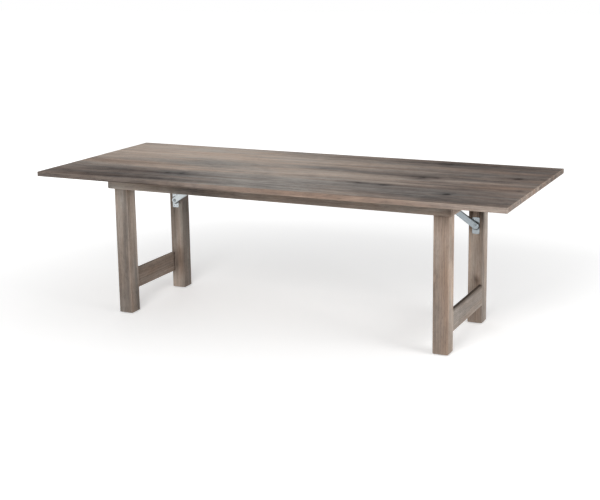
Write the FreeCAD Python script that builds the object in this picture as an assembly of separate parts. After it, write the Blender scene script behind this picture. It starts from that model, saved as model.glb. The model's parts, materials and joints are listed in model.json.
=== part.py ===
import FreeCAD, Part
import math
import os

# Folding farm table: a board top on a rail frame, with two leg frames that fold flat under it.
# Millimetres. Origin on the floor under the middle of the top, +X along the top, +Y to the rear, +Z up.
# Hardware is drawn once, at the right rear leg, and mirrored to where it repeats.
# Each leg frame has one strut, at its rear leg.

# Top
TABLE_HEIGHT = 762.0
TOP_LENGTH = 2438.0
TOP_WIDTH = 1016.0
TOP_THICKNESS = 24.0
BOARD_COUNT = 7
BOARD_EASE = 1.0

# Rail frame
END_OVERHANG = 302.5
SIDE_OVERHANG = 177.0
RAIL_HEIGHT = 74.0
RAIL_THICKNESS = 24.0
END_RAIL_THICKNESS = 16.0
CROSS_RAIL_HEIGHT = 54.0
CROSS_RAIL_THICKNESS = 24.0

# Leg frames
LEG_WIDTH = 75.0
LEG_EASE = 2.0
LEG_END_GAP = 3.5
LEG_SIDE_GAP = 4.5
LEG_TOP_GAP = 1.5
LEG_TOP_ROUND = 18.0
STRETCHER_BOTTOM = 98.0
STRETCHER_HEIGHT = 106.0
STRETCHER_THICKNESS = 18.0
GLIDE_HEIGHT = 4.0
GLIDE_DIAMETER = 32.0
GLIDE_TAPER = 3.0
GLIDE_STEM_DIAMETER = 6.0
GLIDE_STEM_LENGTH = 18.0

# Leg pivots
PIVOT_INSET = 20.0
FOLD_GAP = 10.0
RUN_CLEARANCE = 0.05
SIDE_PLAY = 0.3
BOLT_DIAMETER = 10.0
BOLT_HEAD_FLATS = 17.0
BOLT_HEAD_HEIGHT = 6.4
BOLT_GRIP = 13.0
BUSH_WALL = 1.5
INSERT_WALL = 2.0
INSERT_LENGTH = 15.0
WASHER_DIAMETER = 24.0
WASHER_CLEARANCE = 0.2

# Steel plates under the top
PLATE_THICKNESS = 3.0
BRACKET_LENGTH = 60.0
BRACKET_FLANGE = 40.0
BRACKET_EYE_RADIUS = 16.0
KEEPER_BACK = 36.0
KEEPER_FRONT = 18.0
KEEPER_DOWN = 19.0
KEEPER_FLANGE = 39.0
NOTCH_CLEARANCE = 0.3
NOTCH_STRAIGHT = 8.0
NOTCH_REACH = 40.0
NOTCH_FLARE = 5.0

# Struts
STRUT_DROP = 206.0
PIN_DROP = 26.0
STRUT_LENGTH = 375.5
STRUT_WIDTH = 32.0
STRUT_DEPTH = 12.0
STRUT_WALL = 2.0
STRUT_EDGE_ROUND = 3.0
STRUT_GAP = 0.5
KEEPER_GAP = 1.0
PIN_DIAMETER = 8.0
PIN_BEYOND_CATCH = 4.8
PIN_END_CHAMFER = 1.0
PIN_HEAD_DIAMETER = 13.0
PIN_HEAD_HEIGHT = 2.0
RIVET_DIAMETER = 8.0
RIVET_COLLAR_DIAMETER = 14.0
RIVET_HEAD_DIAMETER = 16.0
RIVET_HEAD_HEIGHT = 3.0
RIVET_HEAD_CHAMFER = 1.0
RIVET_PLAY = 0.3

# Leg plates
LEG_PLATE_WIDTH = 36.0
LEG_PLATE_HALF_HEIGHT = 41.0
LEG_PLATE_CORNER = 5.0
LEG_PLATE_SCREW_INSET = 9.0

# Spring catches
CATCH_THICKNESS = 1.2
CATCH_WIDTH = 16.0
CATCH_BACK = 32.0
CATCH_FLAT = 16.0
CATCH_TAB_RUN = 16.0
CATCH_TAB_RISE = 9.0
CATCH_HOLE_CLEARANCE = 0.5
CATCH_RIVET_DIAMETER = 5.0
CATCH_RIVET_HEAD_DIAMETER = 9.0
CATCH_RIVET_HEAD_HEIGHT = 1.5
CATCH_RIVET_FIRST = 16.0
CATCH_RIVET_PITCH = 10.0

# Fasteners
SCREW_DIAMETER = 4.2
SCREW_HEAD_DIAMETER = 8.0
SCREW_HEAD_HEIGHT = 2.4
SCREW_REACH = 16.0
SCREW_EDGE = 11.0
SCREW_FREE_EDGE = 7.5
RAIL_SCREW_DIAMETER = 5.0
RAIL_SCREW_HEAD_DIAMETER = 9.0
RAIL_SCREW_HEAD_HEIGHT = 4.0
RAIL_SCREW_BORE_CLEARANCE = 0.3
RAIL_SCREW_GRIP = 34.0
RAIL_SCREW_REACH = 15.0
RAIL_SCREW_COUNT = 6
RAIL_SCREW_END_SETBACK = 156.0
DOWEL_DIAMETER = 8.0
DOWEL_LENGTH = 40.0
DOWEL_IN_RAIL = 14.0
DOWEL_IN_LEG = 20.0
DOWEL_EDGE = 19.0

# Levels and faces that follow from the driving dimensions
UNDERSIDE = TABLE_HEIGHT - TOP_THICKNESS
BOARD_WIDTH = TOP_WIDTH / BOARD_COUNT
FRAME_END = TOP_LENGTH / 2 - END_OVERHANG
RAIL_OUTER = TOP_WIDTH / 2 - SIDE_OVERHANG
RAIL_INNER = RAIL_OUTER - RAIL_THICKNESS
RAIL_MIDDLE = (RAIL_OUTER + RAIL_INNER) / 2
END_RAIL_INNER = FRAME_END - END_RAIL_THICKNESS
LEG_OUTER_X = END_RAIL_INNER - LEG_END_GAP
LEG_INNER_X = LEG_OUTER_X - LEG_WIDTH
LEG_MIDDLE_X = (LEG_OUTER_X + LEG_INNER_X) / 2
LEG_OUTER_Y = RAIL_INNER - LEG_SIDE_GAP
LEG_INNER_Y = LEG_OUTER_Y - LEG_WIDTH
LEG_MIDDLE_Y = (LEG_OUTER_Y + LEG_INNER_Y) / 2
LEG_TOP = UNDERSIDE - LEG_TOP_GAP
PIVOT_X = LEG_INNER_X + PIVOT_INSET
PIVOT_Z = UNDERSIDE - PIVOT_INSET - FOLD_GAP
STRETCHER_X = LEG_OUTER_X - STRETCHER_THICKNESS / 2

# Layers of the hardware on the leg's inner face, counted towards the middle of the table
BRACKET_Y = LEG_INNER_Y - SIDE_PLAY - PLATE_THICKNESS
LEG_PLATE_Y = LEG_INNER_Y - PLATE_THICKNESS
STRUT_BACK_Y = LEG_PLATE_Y - STRUT_GAP
STRUT_FACE_Y = STRUT_BACK_Y - STRUT_DEPTH
KEEPER_OUTER_Y = STRUT_FACE_Y - KEEPER_GAP
KEEPER_Y = KEEPER_OUTER_Y - PLATE_THICKNESS
CATCH_Y = KEEPER_Y - CATCH_THICKNESS
PIN_END_Y = CATCH_Y - PIN_BEYOND_CATCH

# Strut pivot on the leg, lock pin at the strut's upper end, and the fold of the strut with the leg
STRUT_X = LEG_MIDDLE_X
STRUT_Z = PIVOT_Z - STRUT_DROP
PIN_Z = UNDERSIDE - PIN_DROP
STRUT_ANGLE = math.asin((PIN_Z - STRUT_Z) / STRUT_LENGTH)
PIN_X = STRUT_X - STRUT_LENGTH * math.cos(STRUT_ANGLE)
STRUT_TURN = -STRUT_ANGLE / (math.pi / 2)
STRUT_FOLD_RATIO = 1 - STRUT_TURN

# The lock pin leaves its notch in the direction that leg and strut together give it
PIN_RUN = (PIVOT_Z - STRUT_Z) - STRUT_TURN * (PIN_Z - STRUT_Z)
PIN_FALL = (STRUT_X - PIVOT_X) - STRUT_TURN * (STRUT_X - PIN_X)
PIN_SLOPE = math.atan2(PIN_FALL, PIN_RUN)

X_AXIS = FreeCAD.Vector(1, 0, 0)
Y_AXIS = FreeCAD.Vector(0, 1, 0)
Z_AXIS = FreeCAD.Vector(0, 0, 1)
SIDES = ("left", "right")
MIRRORS = {
    "right_rear": (),
    "right_front": (Y_AXIS,),
    "left_rear": (X_AXIS,),
    "left_front": (X_AXIS, Y_AXIS),
}


# Shape helpers

def box(low, high):
    """Box between two corners."""
    low = FreeCAD.Vector(*low)
    return Part.makeBox(*(FreeCAD.Vector(*high) - low), low)


def rod(diameter, start, end):
    """Round bar from one point to another."""
    start = FreeCAD.Vector(*start)
    run = FreeCAD.Vector(*end) - start
    return Part.makeCylinder(diameter / 2, run.Length, start, run)


def rod_y(diameter, x, z, y_from, y_to):
    """Round bar along Y."""
    return rod(diameter, (x, y_from, z), (x, y_to, z))


def rod_z(diameter, x, y, z_from, z_to):
    """Round bar along Z."""
    return rod(diameter, (x, y, z_from), (x, y, z_to))


def line(start, end):
    """Straight edge in the XZ plane."""
    points = [FreeCAD.Vector(x, 0, z) for x, z in (start, end)]
    return Part.LineSegment(*points).toShape()


def arc(start, through, end):
    """Arc edge in the XZ plane through three points."""
    points = [FreeCAD.Vector(x, 0, z) for x, z in (start, through, end)]
    return Part.Arc(*points).toShape()


def plate(edges, y_from, y_to):
    """Solid between two Y planes with a closed outline in XZ."""
    face = Part.Face(Part.Wire(edges))
    face.translate(FreeCAD.Vector(0, y_from, 0))
    return face.extrude(FreeCAD.Vector(0, y_to - y_from, 0))


def outline(points):
    """Straight edges that close a list of XZ points."""
    return [line(points[i - 1], points[i]) for i in range(len(points))]


def stadium(length, radius):
    """Edges of a long outline along X with round ends, from the origin to length."""
    return [
        line((0, -radius), (length, -radius)),
        arc((length, -radius), (length + radius, 0), (length, radius)),
        line((length, radius), (0, radius)),
        arc((0, radius), (-radius, 0), (0, -radius)),
    ]


def edges_at_y(shape, y):
    """Edges that lie in one Y plane."""
    return [e for e in shape.Edges if abs(e.BoundBox.YMin - y) < 1e-6 and abs(e.BoundBox.YMax - y) < 1e-6]


def along(shape, x, z, slope):
    """Lays a shape drawn along +X at the origin towards the table's middle, rising by slope."""
    rise = FreeCAD.Vector(-math.cos(slope), 0, math.sin(slope))
    across = rise.cross(Y_AXIS)
    shape.Placement = FreeCAD.Placement(FreeCAD.Matrix(
        rise.x, 0, across.x, x,
        0, 1, 0, 0,
        rise.z, 0, across.z, z,
        0, 0, 0, 1))
    return shape


def at_corner(shape, corner):
    """Mirrors a right rear piece to another corner."""
    for normal in MIRRORS[corner]:
        shape = shape.mirror(FreeCAD.Vector(0, 0, 0), normal)
    return shape


def at_corners(shapes, word=""):
    """Copies of right rear pieces at every corner, or at the corners that have a word in their name."""
    return [at_corner(s, c) for c in MIRRORS if word in c for s in shapes]


def cut_all(shape, tools):
    """Cuts every tool from a shape."""
    return shape.cut(tools) if tools else shape


# Fasteners

def plate_screw_up(x, y):
    """Pan-head screw up through a plate under the top."""
    head_top = UNDERSIDE - PLATE_THICKNESS
    shank = rod_z(SCREW_DIAMETER, x, y, head_top, UNDERSIDE + SCREW_REACH)
    return shank.fuse(rod_z(SCREW_HEAD_DIAMETER, x, y, head_top - SCREW_HEAD_HEIGHT, head_top))


def leg_plate_screw(x, z):
    """Countersunk screw through the leg plate into the leg, flush so that the strut swings over it."""
    shank = rod_y(SCREW_DIAMETER, x, z, LEG_PLATE_Y, LEG_INNER_Y + SCREW_REACH)
    return shank.fuse(Part.makeCone(SCREW_HEAD_DIAMETER / 2, SCREW_DIAMETER / 2, SCREW_HEAD_HEIGHT,
                                    FreeCAD.Vector(x, LEG_PLATE_Y, z), Y_AXIS))


def rail_screw(x, y):
    """Sunk screw up through a rail into the top."""
    head_top = UNDERSIDE - RAIL_SCREW_GRIP
    shank = rod_z(RAIL_SCREW_DIAMETER, x, y, head_top, UNDERSIDE + RAIL_SCREW_REACH)
    return shank.fuse(rod_z(RAIL_SCREW_HEAD_DIAMETER, x, y, head_top - RAIL_SCREW_HEAD_HEIGHT, head_top))


def rail_screw_bore(x, y):
    """Hole in a rail for a sunk screw, with its counterbore from below."""
    head_top = UNDERSIDE - RAIL_SCREW_GRIP
    bore = RAIL_SCREW_HEAD_DIAMETER + 2 * RAIL_SCREW_BORE_CLEARANCE
    counterbore = rod_z(bore, x, y, UNDERSIDE - RAIL_HEIGHT, head_top)
    return rod_z(RAIL_SCREW_DIAMETER, x, y, head_top, UNDERSIDE).fuse(counterbore)


def long_rail_screw_places():
    """Places of the screws in the rear rail, evenly spaced along it."""
    span = FRAME_END - RAIL_SCREW_END_SETBACK
    step = 2 * span / (RAIL_SCREW_COUNT - 1)
    return [(-span + i * step, RAIL_MIDDLE) for i in range(RAIL_SCREW_COUNT)]


def short_rail_screw_places(x):
    """Places of the screws in an end or cross rail, one under each board that clears the dowels."""
    reach = RAIL_INNER - DOWEL_LENGTH
    centres = [(i - (BOARD_COUNT - 1) / 2) * BOARD_WIDTH for i in range(BOARD_COUNT)]
    return [(x, y) for y in centres if abs(y) < reach]


def rail_dowels(x, rail_height):
    """Pair of dowels from the rear rail into the end of a rail at x."""
    start = RAIL_INNER + DOWEL_IN_RAIL - DOWEL_LENGTH
    heights = (UNDERSIDE - DOWEL_EDGE, UNDERSIDE - rail_height + DOWEL_EDGE)
    return [rod_y(DOWEL_DIAMETER, x, z, start, start + DOWEL_LENGTH) for z in heights]


def stretcher_dowels():
    """Pair of dowels from the right rear leg into the stretcher."""
    start = LEG_INNER_Y + DOWEL_IN_LEG - DOWEL_LENGTH
    heights = (STRETCHER_BOTTOM + DOWEL_EDGE, STRETCHER_BOTTOM + STRETCHER_HEIGHT - DOWEL_EDGE)
    return [rod_y(DOWEL_DIAMETER, STRETCHER_X, z, start, start + DOWEL_LENGTH) for z in heights]


def flange_screws(middle_x, half_length, web_y, flange):
    """Four screws through a flange under the top, set in from its ends, its web and its free edge."""
    free_y = web_y + PLATE_THICKNESS - flange
    lengthwise = half_length - SCREW_EDGE
    return [plate_screw_up(middle_x + side * lengthwise, y)
            for side in (-1, 1) for y in (web_y - SCREW_EDGE, free_y + SCREW_FREE_EDGE)]


def pivot_bracket_screws():
    """Screws of the right rear pivot bracket."""
    return flange_screws(PIVOT_X, BRACKET_LENGTH / 2, BRACKET_Y, BRACKET_FLANGE)


def keeper_screws():
    """Screws of the right strut keeper."""
    return flange_screws(keeper_middle(), keeper_half(), KEEPER_Y, KEEPER_FLANGE)


# Rail frame and top

def long_rail():
    """Rear rail, bored for its screws, dowels and pivot inserts."""
    rail = box((-FRAME_END, RAIL_INNER, UNDERSIDE - RAIL_HEIGHT), (FRAME_END, RAIL_OUTER, UNDERSIDE))
    tools = [rail_screw_bore(x, y) for x, y in long_rail_screw_places()]
    end_dowels = rail_dowels(FRAME_END - END_RAIL_THICKNESS / 2, RAIL_HEIGHT)
    tools += end_dowels + [d.mirror(FreeCAD.Vector(0, 0, 0), X_AXIS) for d in end_dowels]
    tools += rail_dowels(0, CROSS_RAIL_HEIGHT)
    bore = insert_blank()
    tools += [bore, bore.mirror(FreeCAD.Vector(0, 0, 0), X_AXIS)]
    return cut_all(rail, tools)


def short_rail(x, thickness, height):
    """Rail across the frame at x, bored for its screws and dowels."""
    half = thickness / 2
    rail = box((x - half, -RAIL_INNER, UNDERSIDE - height), (x + half, RAIL_INNER, UNDERSIDE))
    tools = [rail_screw_bore(*place) for place in short_rail_screw_places(x)]
    dowels = rail_dowels(x, height)
    tools += dowels + [d.mirror(FreeCAD.Vector(0, 0, 0), Y_AXIS) for d in dowels]
    return cut_all(rail, tools)


def board(index, tools):
    """One board of the top, its upper edges eased and its underside bored for screws."""
    low_y = -TOP_WIDTH / 2 + index * BOARD_WIDTH
    plank = box((-TOP_LENGTH / 2, low_y, UNDERSIDE), (TOP_LENGTH / 2, low_y + BOARD_WIDTH, TABLE_HEIGHT))
    upper = [e for e in plank.Edges if e.BoundBox.ZMin > TABLE_HEIGHT - TOP_THICKNESS / 2]
    return cut_all(plank.makeChamfer(BOARD_EASE, upper), tools)


# Leg pivots

def insert_blank():
    """Outside of the threaded insert in the rear rail."""
    diameter = BOLT_DIAMETER + 2 * INSERT_WALL
    return rod_y(diameter, PIVOT_X, PIVOT_Z, RAIL_INNER, RAIL_INNER + INSERT_LENGTH)


def pivot_insert():
    """Threaded insert, drawn as a plain sleeve."""
    bore = rod_y(BOLT_DIAMETER, PIVOT_X, PIVOT_Z, RAIL_INNER, RAIL_INNER + INSERT_LENGTH)
    return insert_blank().cut(bore)


def pivot_bolt():
    """Hexagon bolt through bracket, leg and washer into the insert."""
    shank = rod_y(BOLT_DIAMETER, PIVOT_X, PIVOT_Z, BRACKET_Y, RAIL_INNER + BOLT_GRIP)
    corner = BOLT_HEAD_FLATS / math.sqrt(3)
    points = [(PIVOT_X + corner * math.cos(math.radians(60 * i)),
               PIVOT_Z + corner * math.sin(math.radians(60 * i))) for i in range(6)]
    return shank.fuse(plate(outline(points), BRACKET_Y - BOLT_HEAD_HEIGHT, BRACKET_Y))


def spacer_washer():
    """Washer that fills the gap between leg and rail."""
    start = LEG_OUTER_Y + SIDE_PLAY
    ring = rod_y(WASHER_DIAMETER, PIVOT_X, PIVOT_Z, start, RAIL_INNER)
    return ring.cut(rod_y(BOLT_DIAMETER + 2 * WASHER_CLEARANCE, PIVOT_X, PIVOT_Z, start, RAIL_INNER))


def bush_blank():
    """Outside of the bush in the leg."""
    diameter = BOLT_DIAMETER + 2 * (RUN_CLEARANCE + BUSH_WALL)
    return rod_y(diameter, PIVOT_X, PIVOT_Z, LEG_INNER_Y, LEG_OUTER_Y)


def pivot_bush():
    """Bush that turns on the pivot bolt."""
    bore = BOLT_DIAMETER + 2 * RUN_CLEARANCE
    return bush_blank().cut(rod_y(bore, PIVOT_X, PIVOT_Z, LEG_INNER_Y, LEG_OUTER_Y))


def pivot_bracket():
    """Angle plate under the top with an eye for the pivot bolt."""
    half = BRACKET_LENGTH / 2
    radius = BRACKET_EYE_RADIUS
    left_eye = (PIVOT_X - radius, PIVOT_Z)
    right_eye = (PIVOT_X + radius, PIVOT_Z)
    web = plate([
        line((PIVOT_X + half, UNDERSIDE), (PIVOT_X - half, UNDERSIDE)),
        line((PIVOT_X - half, UNDERSIDE), left_eye),
        arc(left_eye, (PIVOT_X, PIVOT_Z - radius), right_eye),
        line(right_eye, (PIVOT_X + half, UNDERSIDE)),
    ], BRACKET_Y, BRACKET_Y + PLATE_THICKNESS)
    outer_y = BRACKET_Y + PLATE_THICKNESS
    flange = box((PIVOT_X - half, outer_y - BRACKET_FLANGE, UNDERSIDE - PLATE_THICKNESS),
                 (PIVOT_X + half, outer_y, UNDERSIDE))
    bolt_hole = rod_y(BOLT_DIAMETER, PIVOT_X, PIVOT_Z, BRACKET_Y, outer_y)
    return cut_all(web.fuse(flange).removeSplitter(), [bolt_hole] + pivot_bracket_screws())


# Struts and their keepers

def keeper_half():
    """Half the keeper's length."""
    return (KEEPER_BACK + KEEPER_FRONT) / 2


def keeper_middle():
    """Middle of the keeper along X."""
    return PIN_X + (KEEPER_BACK - KEEPER_FRONT) / 2


def notch():
    """Slot along the lock pin's way out, flared towards its mouth."""
    radius = PIN_DIAMETER / 2 + NOTCH_CLEARANCE
    wide = radius + NOTCH_FLARE
    points = [(0, -radius), (NOTCH_STRAIGHT, -radius), (NOTCH_REACH, -wide),
              (NOTCH_REACH, wide), (NOTCH_STRAIGHT, radius), (0, radius)]
    slot = plate(outline(points), KEEPER_Y, KEEPER_OUTER_Y)
    return slot.fuse(rod_y(2 * radius, 0, 0, KEEPER_Y, KEEPER_OUTER_Y))


def catch_rivet_places():
    """Places of the catch's rivets, counted back from the lock pin along the catch."""
    return [-CATCH_RIVET_FIRST, -CATCH_RIVET_FIRST - CATCH_RIVET_PITCH]


def catch_rivets():
    """Rivets that hold the spring catch to the keeper, flush on the strut's side."""
    rivets = []
    for place in catch_rivet_places():
        shank = rod_y(CATCH_RIVET_DIAMETER, place, 0, CATCH_Y, KEEPER_OUTER_Y)
        head = rod_y(CATCH_RIVET_HEAD_DIAMETER, place, 0, CATCH_Y - CATCH_RIVET_HEAD_HEIGHT, CATCH_Y)
        rivets.append(along(shank.fuse(head), PIN_X, PIN_Z, -PIN_SLOPE))
    return rivets


def strut_keeper():
    """Angle plate under the top whose notch takes the lock pin."""
    back = PIN_X + KEEPER_BACK
    front = PIN_X - KEEPER_FRONT
    low = PIN_Z - KEEPER_DOWN
    web = plate(outline([(back, UNDERSIDE), (back, PIN_Z), (PIN_X + KEEPER_BACK / 2, low),
                         (front, low), (front, UNDERSIDE)]), KEEPER_Y, KEEPER_OUTER_Y)
    flange = box((front, KEEPER_OUTER_Y - KEEPER_FLANGE, UNDERSIDE - PLATE_THICKNESS),
                 (back, KEEPER_OUTER_Y, UNDERSIDE))
    tools = [along(notch(), PIN_X, PIN_Z, -PIN_SLOPE)] + catch_rivets() + keeper_screws()
    return cut_all(web.fuse(flange).removeSplitter(), tools)


def spring_catch():
    """Leaf spring on the keeper with a hole that holds the lock pin and a bent thumb tab."""
    half = CATCH_WIDTH / 2
    end = CATCH_FLAT + CATCH_TAB_RUN
    points = [(-CATCH_BACK, KEEPER_Y), (CATCH_FLAT, KEEPER_Y), (end, KEEPER_Y - CATCH_TAB_RISE),
              (end, CATCH_Y - CATCH_TAB_RISE), (CATCH_FLAT, CATCH_Y), (-CATCH_BACK, CATCH_Y)]
    corners = [FreeCAD.Vector(x, y, -half) for x, y in points]
    leaf = Part.Face(Part.makePolygon(corners + corners[:1])).extrude(Z_AXIS * CATCH_WIDTH)
    hole = rod_y(PIN_DIAMETER + 2 * CATCH_HOLE_CLEARANCE, 0, 0, CATCH_Y, KEEPER_Y)
    return cut_all(along(leaf.cut(hole), PIN_X, PIN_Z, -PIN_SLOPE), catch_rivets())


def strut():
    """Pressed channel with round ends, open towards the leg."""
    outer = plate(stadium(STRUT_LENGTH, STRUT_WIDTH / 2), STRUT_FACE_Y, STRUT_BACK_Y)
    outer = outer.makeFillet(STRUT_EDGE_ROUND, edges_at_y(outer, STRUT_FACE_Y))
    floor_y = STRUT_FACE_Y + STRUT_WALL
    hollow = plate(stadium(STRUT_LENGTH, STRUT_WIDTH / 2 - STRUT_WALL), floor_y, STRUT_BACK_Y)
    hollow = hollow.makeFillet(STRUT_EDGE_ROUND - STRUT_WALL / 2, edges_at_y(hollow, floor_y))
    rivet_hole = rod_y(RIVET_DIAMETER + 2 * RUN_CLEARANCE, 0, 0, STRUT_FACE_Y, floor_y)
    pin_hole = rod_y(PIN_DIAMETER, STRUT_LENGTH, 0, STRUT_FACE_Y, floor_y)
    return along(cut_all(outer, [hollow, rivet_hole, pin_hole]), STRUT_X, STRUT_Z, STRUT_ANGLE)


def lock_pin():
    """Pin at the strut's upper end, riveted inside the channel, reaching through keeper and catch."""
    floor_y = STRUT_FACE_Y + STRUT_WALL
    shank = rod_y(PIN_DIAMETER, PIN_X, PIN_Z, PIN_END_Y, floor_y)
    shank = shank.makeChamfer(PIN_END_CHAMFER, edges_at_y(shank, PIN_END_Y))
    return shank.fuse(rod_y(PIN_HEAD_DIAMETER, PIN_X, PIN_Z, floor_y, floor_y + PIN_HEAD_HEIGHT))


def strut_rivet():
    """Shouldered rivet on the leg plate that the strut turns on."""
    head_y = STRUT_FACE_Y - RIVET_PLAY
    shank = rod_y(RIVET_DIAMETER, STRUT_X, STRUT_Z, head_y, LEG_INNER_Y)
    collar_y = STRUT_FACE_Y + STRUT_WALL + RIVET_PLAY
    collar = rod_y(RIVET_COLLAR_DIAMETER, STRUT_X, STRUT_Z, collar_y, LEG_PLATE_Y)
    head = rod_y(RIVET_HEAD_DIAMETER, STRUT_X, STRUT_Z, head_y - RIVET_HEAD_HEIGHT, head_y)
    head = head.makeChamfer(RIVET_HEAD_CHAMFER, edges_at_y(head, head_y - RIVET_HEAD_HEIGHT))
    return shank.fuse([collar, head])


# Leg frames

def leg_plate_screws():
    """Screws of the right leg plate, two in each tab."""
    reach = LEG_PLATE_HALF_HEIGHT - LEG_PLATE_SCREW_INSET
    half = LEG_PLATE_WIDTH / 2 - LEG_PLATE_SCREW_INSET
    return [leg_plate_screw(STRUT_X + i * half, STRUT_Z + j * reach) for i in (-1, 1) for j in (-1, 1)]


def leg_plate():
    """Plate on the leg's inner face that carries the strut's rivet."""
    half = LEG_PLATE_WIDTH / 2
    body = box((STRUT_X - half, LEG_PLATE_Y, STRUT_Z - LEG_PLATE_HALF_HEIGHT),
               (STRUT_X + half, LEG_INNER_Y, STRUT_Z + LEG_PLATE_HALF_HEIGHT))
    corners = [e for e in body.Edges if e.BoundBox.YLength > PLATE_THICKNESS / 2]
    hole = rod_y(RIVET_DIAMETER, STRUT_X, STRUT_Z, LEG_PLATE_Y, LEG_INNER_Y)
    return cut_all(body.makeFillet(LEG_PLATE_CORNER, corners), [hole] + leg_plate_screws())


def leg_blank():
    """Square leg with eased corners, its top shaped to swing clear of the top and the end rail."""
    ease = LEG_EASE
    section = [(LEG_INNER_X + ease, LEG_INNER_Y), (LEG_OUTER_X - ease, LEG_INNER_Y),
               (LEG_OUTER_X, LEG_INNER_Y + ease), (LEG_OUTER_X, LEG_OUTER_Y - ease),
               (LEG_OUTER_X - ease, LEG_OUTER_Y), (LEG_INNER_X + ease, LEG_OUTER_Y),
               (LEG_INNER_X, LEG_OUTER_Y - ease), (LEG_INNER_X, LEG_INNER_Y + ease)]
    corners = [FreeCAD.Vector(x, y, GLIDE_HEIGHT) for x, y in section]
    post = Part.Face(Part.makePolygon(corners + corners[:1])).extrude(Z_AXIS * (LEG_TOP - GLIDE_HEIGHT))
    swing = LEG_TOP - PIVOT_Z
    inner_turn = math.asin(PIVOT_INSET / swing)
    inner_end = (LEG_INNER_X, PIVOT_Z + swing * math.cos(inner_turn))
    inner_mid = (PIVOT_X - swing * math.sin(inner_turn / 2), PIVOT_Z + swing * math.cos(inner_turn / 2))
    round_x = LEG_OUTER_X - LEG_TOP_ROUND
    round_z = LEG_TOP - LEG_TOP_ROUND
    diagonal = LEG_TOP_ROUND * math.sqrt(0.5)
    side = plate([
        line((LEG_INNER_X, GLIDE_HEIGHT), inner_end),
        arc(inner_end, inner_mid, (PIVOT_X, LEG_TOP)),
        line((PIVOT_X, LEG_TOP), (round_x, LEG_TOP)),
        arc((round_x, LEG_TOP), (round_x + diagonal, round_z + diagonal), (LEG_OUTER_X, round_z)),
        line((LEG_OUTER_X, round_z), (LEG_OUTER_X, GLIDE_HEIGHT)),
        line((LEG_OUTER_X, GLIDE_HEIGHT), (LEG_INNER_X, GLIDE_HEIGHT)),
    ], LEG_INNER_Y, LEG_OUTER_Y)
    return post.common(side)


def glide():
    """Floor glide with a stem in the leg."""
    foot = Part.makeCone(GLIDE_DIAMETER / 2 - GLIDE_TAPER, GLIDE_DIAMETER / 2, GLIDE_HEIGHT,
                         FreeCAD.Vector(LEG_MIDDLE_X, LEG_MIDDLE_Y, 0))
    return foot.fuse(glide_stem())


def glide_stem():
    """Stem of the floor glide."""
    stem_top = GLIDE_HEIGHT + GLIDE_STEM_LENGTH
    return rod_z(GLIDE_STEM_DIAMETER, LEG_MIDDLE_X, LEG_MIDDLE_Y, GLIDE_HEIGHT, stem_top)


def leg(plate_screws):
    """Leg in the right rear place, bored for its bush, dowels and glide and for any plate screws."""
    return cut_all(leg_blank(), [bush_blank(), glide_stem()] + stretcher_dowels() + plate_screws)


def stretcher():
    """Board between the right pair of legs, flush with their outer faces."""
    rail = box((LEG_OUTER_X - STRETCHER_THICKNESS, -LEG_INNER_Y, STRETCHER_BOTTOM),
               (LEG_OUTER_X, LEG_INNER_Y, STRETCHER_BOTTOM + STRETCHER_HEIGHT))
    return cut_all(rail, at_corners(stretcher_dowels(), "right"))


# Assembly

def top_and_frame_nodes():
    """Nodes of the top, the rail frame and the fasteners between them."""
    end_x = FRAME_END - END_RAIL_THICKNESS / 2
    rear_places = long_rail_screw_places()
    screws = [rail_screw(x, side * y) for x, y in rear_places for side in (-1, 1)]
    short_places = [p for x in (-end_x, 0, end_x) for p in short_rail_screw_places(x)]
    screws += [rail_screw(x, y) for x, y in short_places]
    plate_screws = at_corners(pivot_bracket_screws()) + at_corners(keeper_screws(), "rear")
    rear_dowels = [d for x, h in ((-end_x, RAIL_HEIGHT), (0, CROSS_RAIL_HEIGHT), (end_x, RAIL_HEIGHT))
                   for d in rail_dowels(x, h)]
    front_dowels = [d.mirror(FreeCAD.Vector(0, 0, 0), Y_AXIS) for d in rear_dowels]
    nodes = {f"top_board_{i + 1}": board(i, screws + plate_screws) for i in range(BOARD_COUNT)}
    nodes["rear_rail"] = long_rail()
    nodes["front_rail"] = nodes["rear_rail"].mirror(FreeCAD.Vector(0, 0, 0), Y_AXIS)
    nodes["right_end_rail"] = short_rail(end_x, END_RAIL_THICKNESS, RAIL_HEIGHT)
    nodes["left_end_rail"] = nodes["right_end_rail"].mirror(FreeCAD.Vector(0, 0, 0), X_AXIS)
    nodes["centre_cross_rail"] = short_rail(0, CROSS_RAIL_THICKNESS, CROSS_RAIL_HEIGHT)
    nodes["rail_screws"] = Part.makeCompound(screws)
    nodes["bracket_screws"] = Part.makeCompound(plate_screws)
    nodes["frame_dowels"] = Part.makeCompound(rear_dowels + front_dowels)
    return nodes


def hardware_nodes():
    """Nodes of the hardware that stays with the top."""
    bracket = pivot_bracket()
    nodes = {f"{corner}_pivot_bracket": at_corner(bracket, corner) for corner in MIRRORS}
    for name, piece in (("strut_keeper", strut_keeper()), ("spring_catch", spring_catch())):
        nodes.update({f"{side}_{name}": at_corner(piece, f"{side}_rear") for side in SIDES})
    nodes["catch_rivets"] = Part.makeCompound(at_corners(catch_rivets(), "rear"))
    for name, piece in (("pivot_bolts", pivot_bolt()), ("pivot_inserts", pivot_insert()),
                        ("spacer_washers", spacer_washer())):
        nodes[name] = Part.makeCompound(at_corners([piece]))
    return nodes


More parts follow.
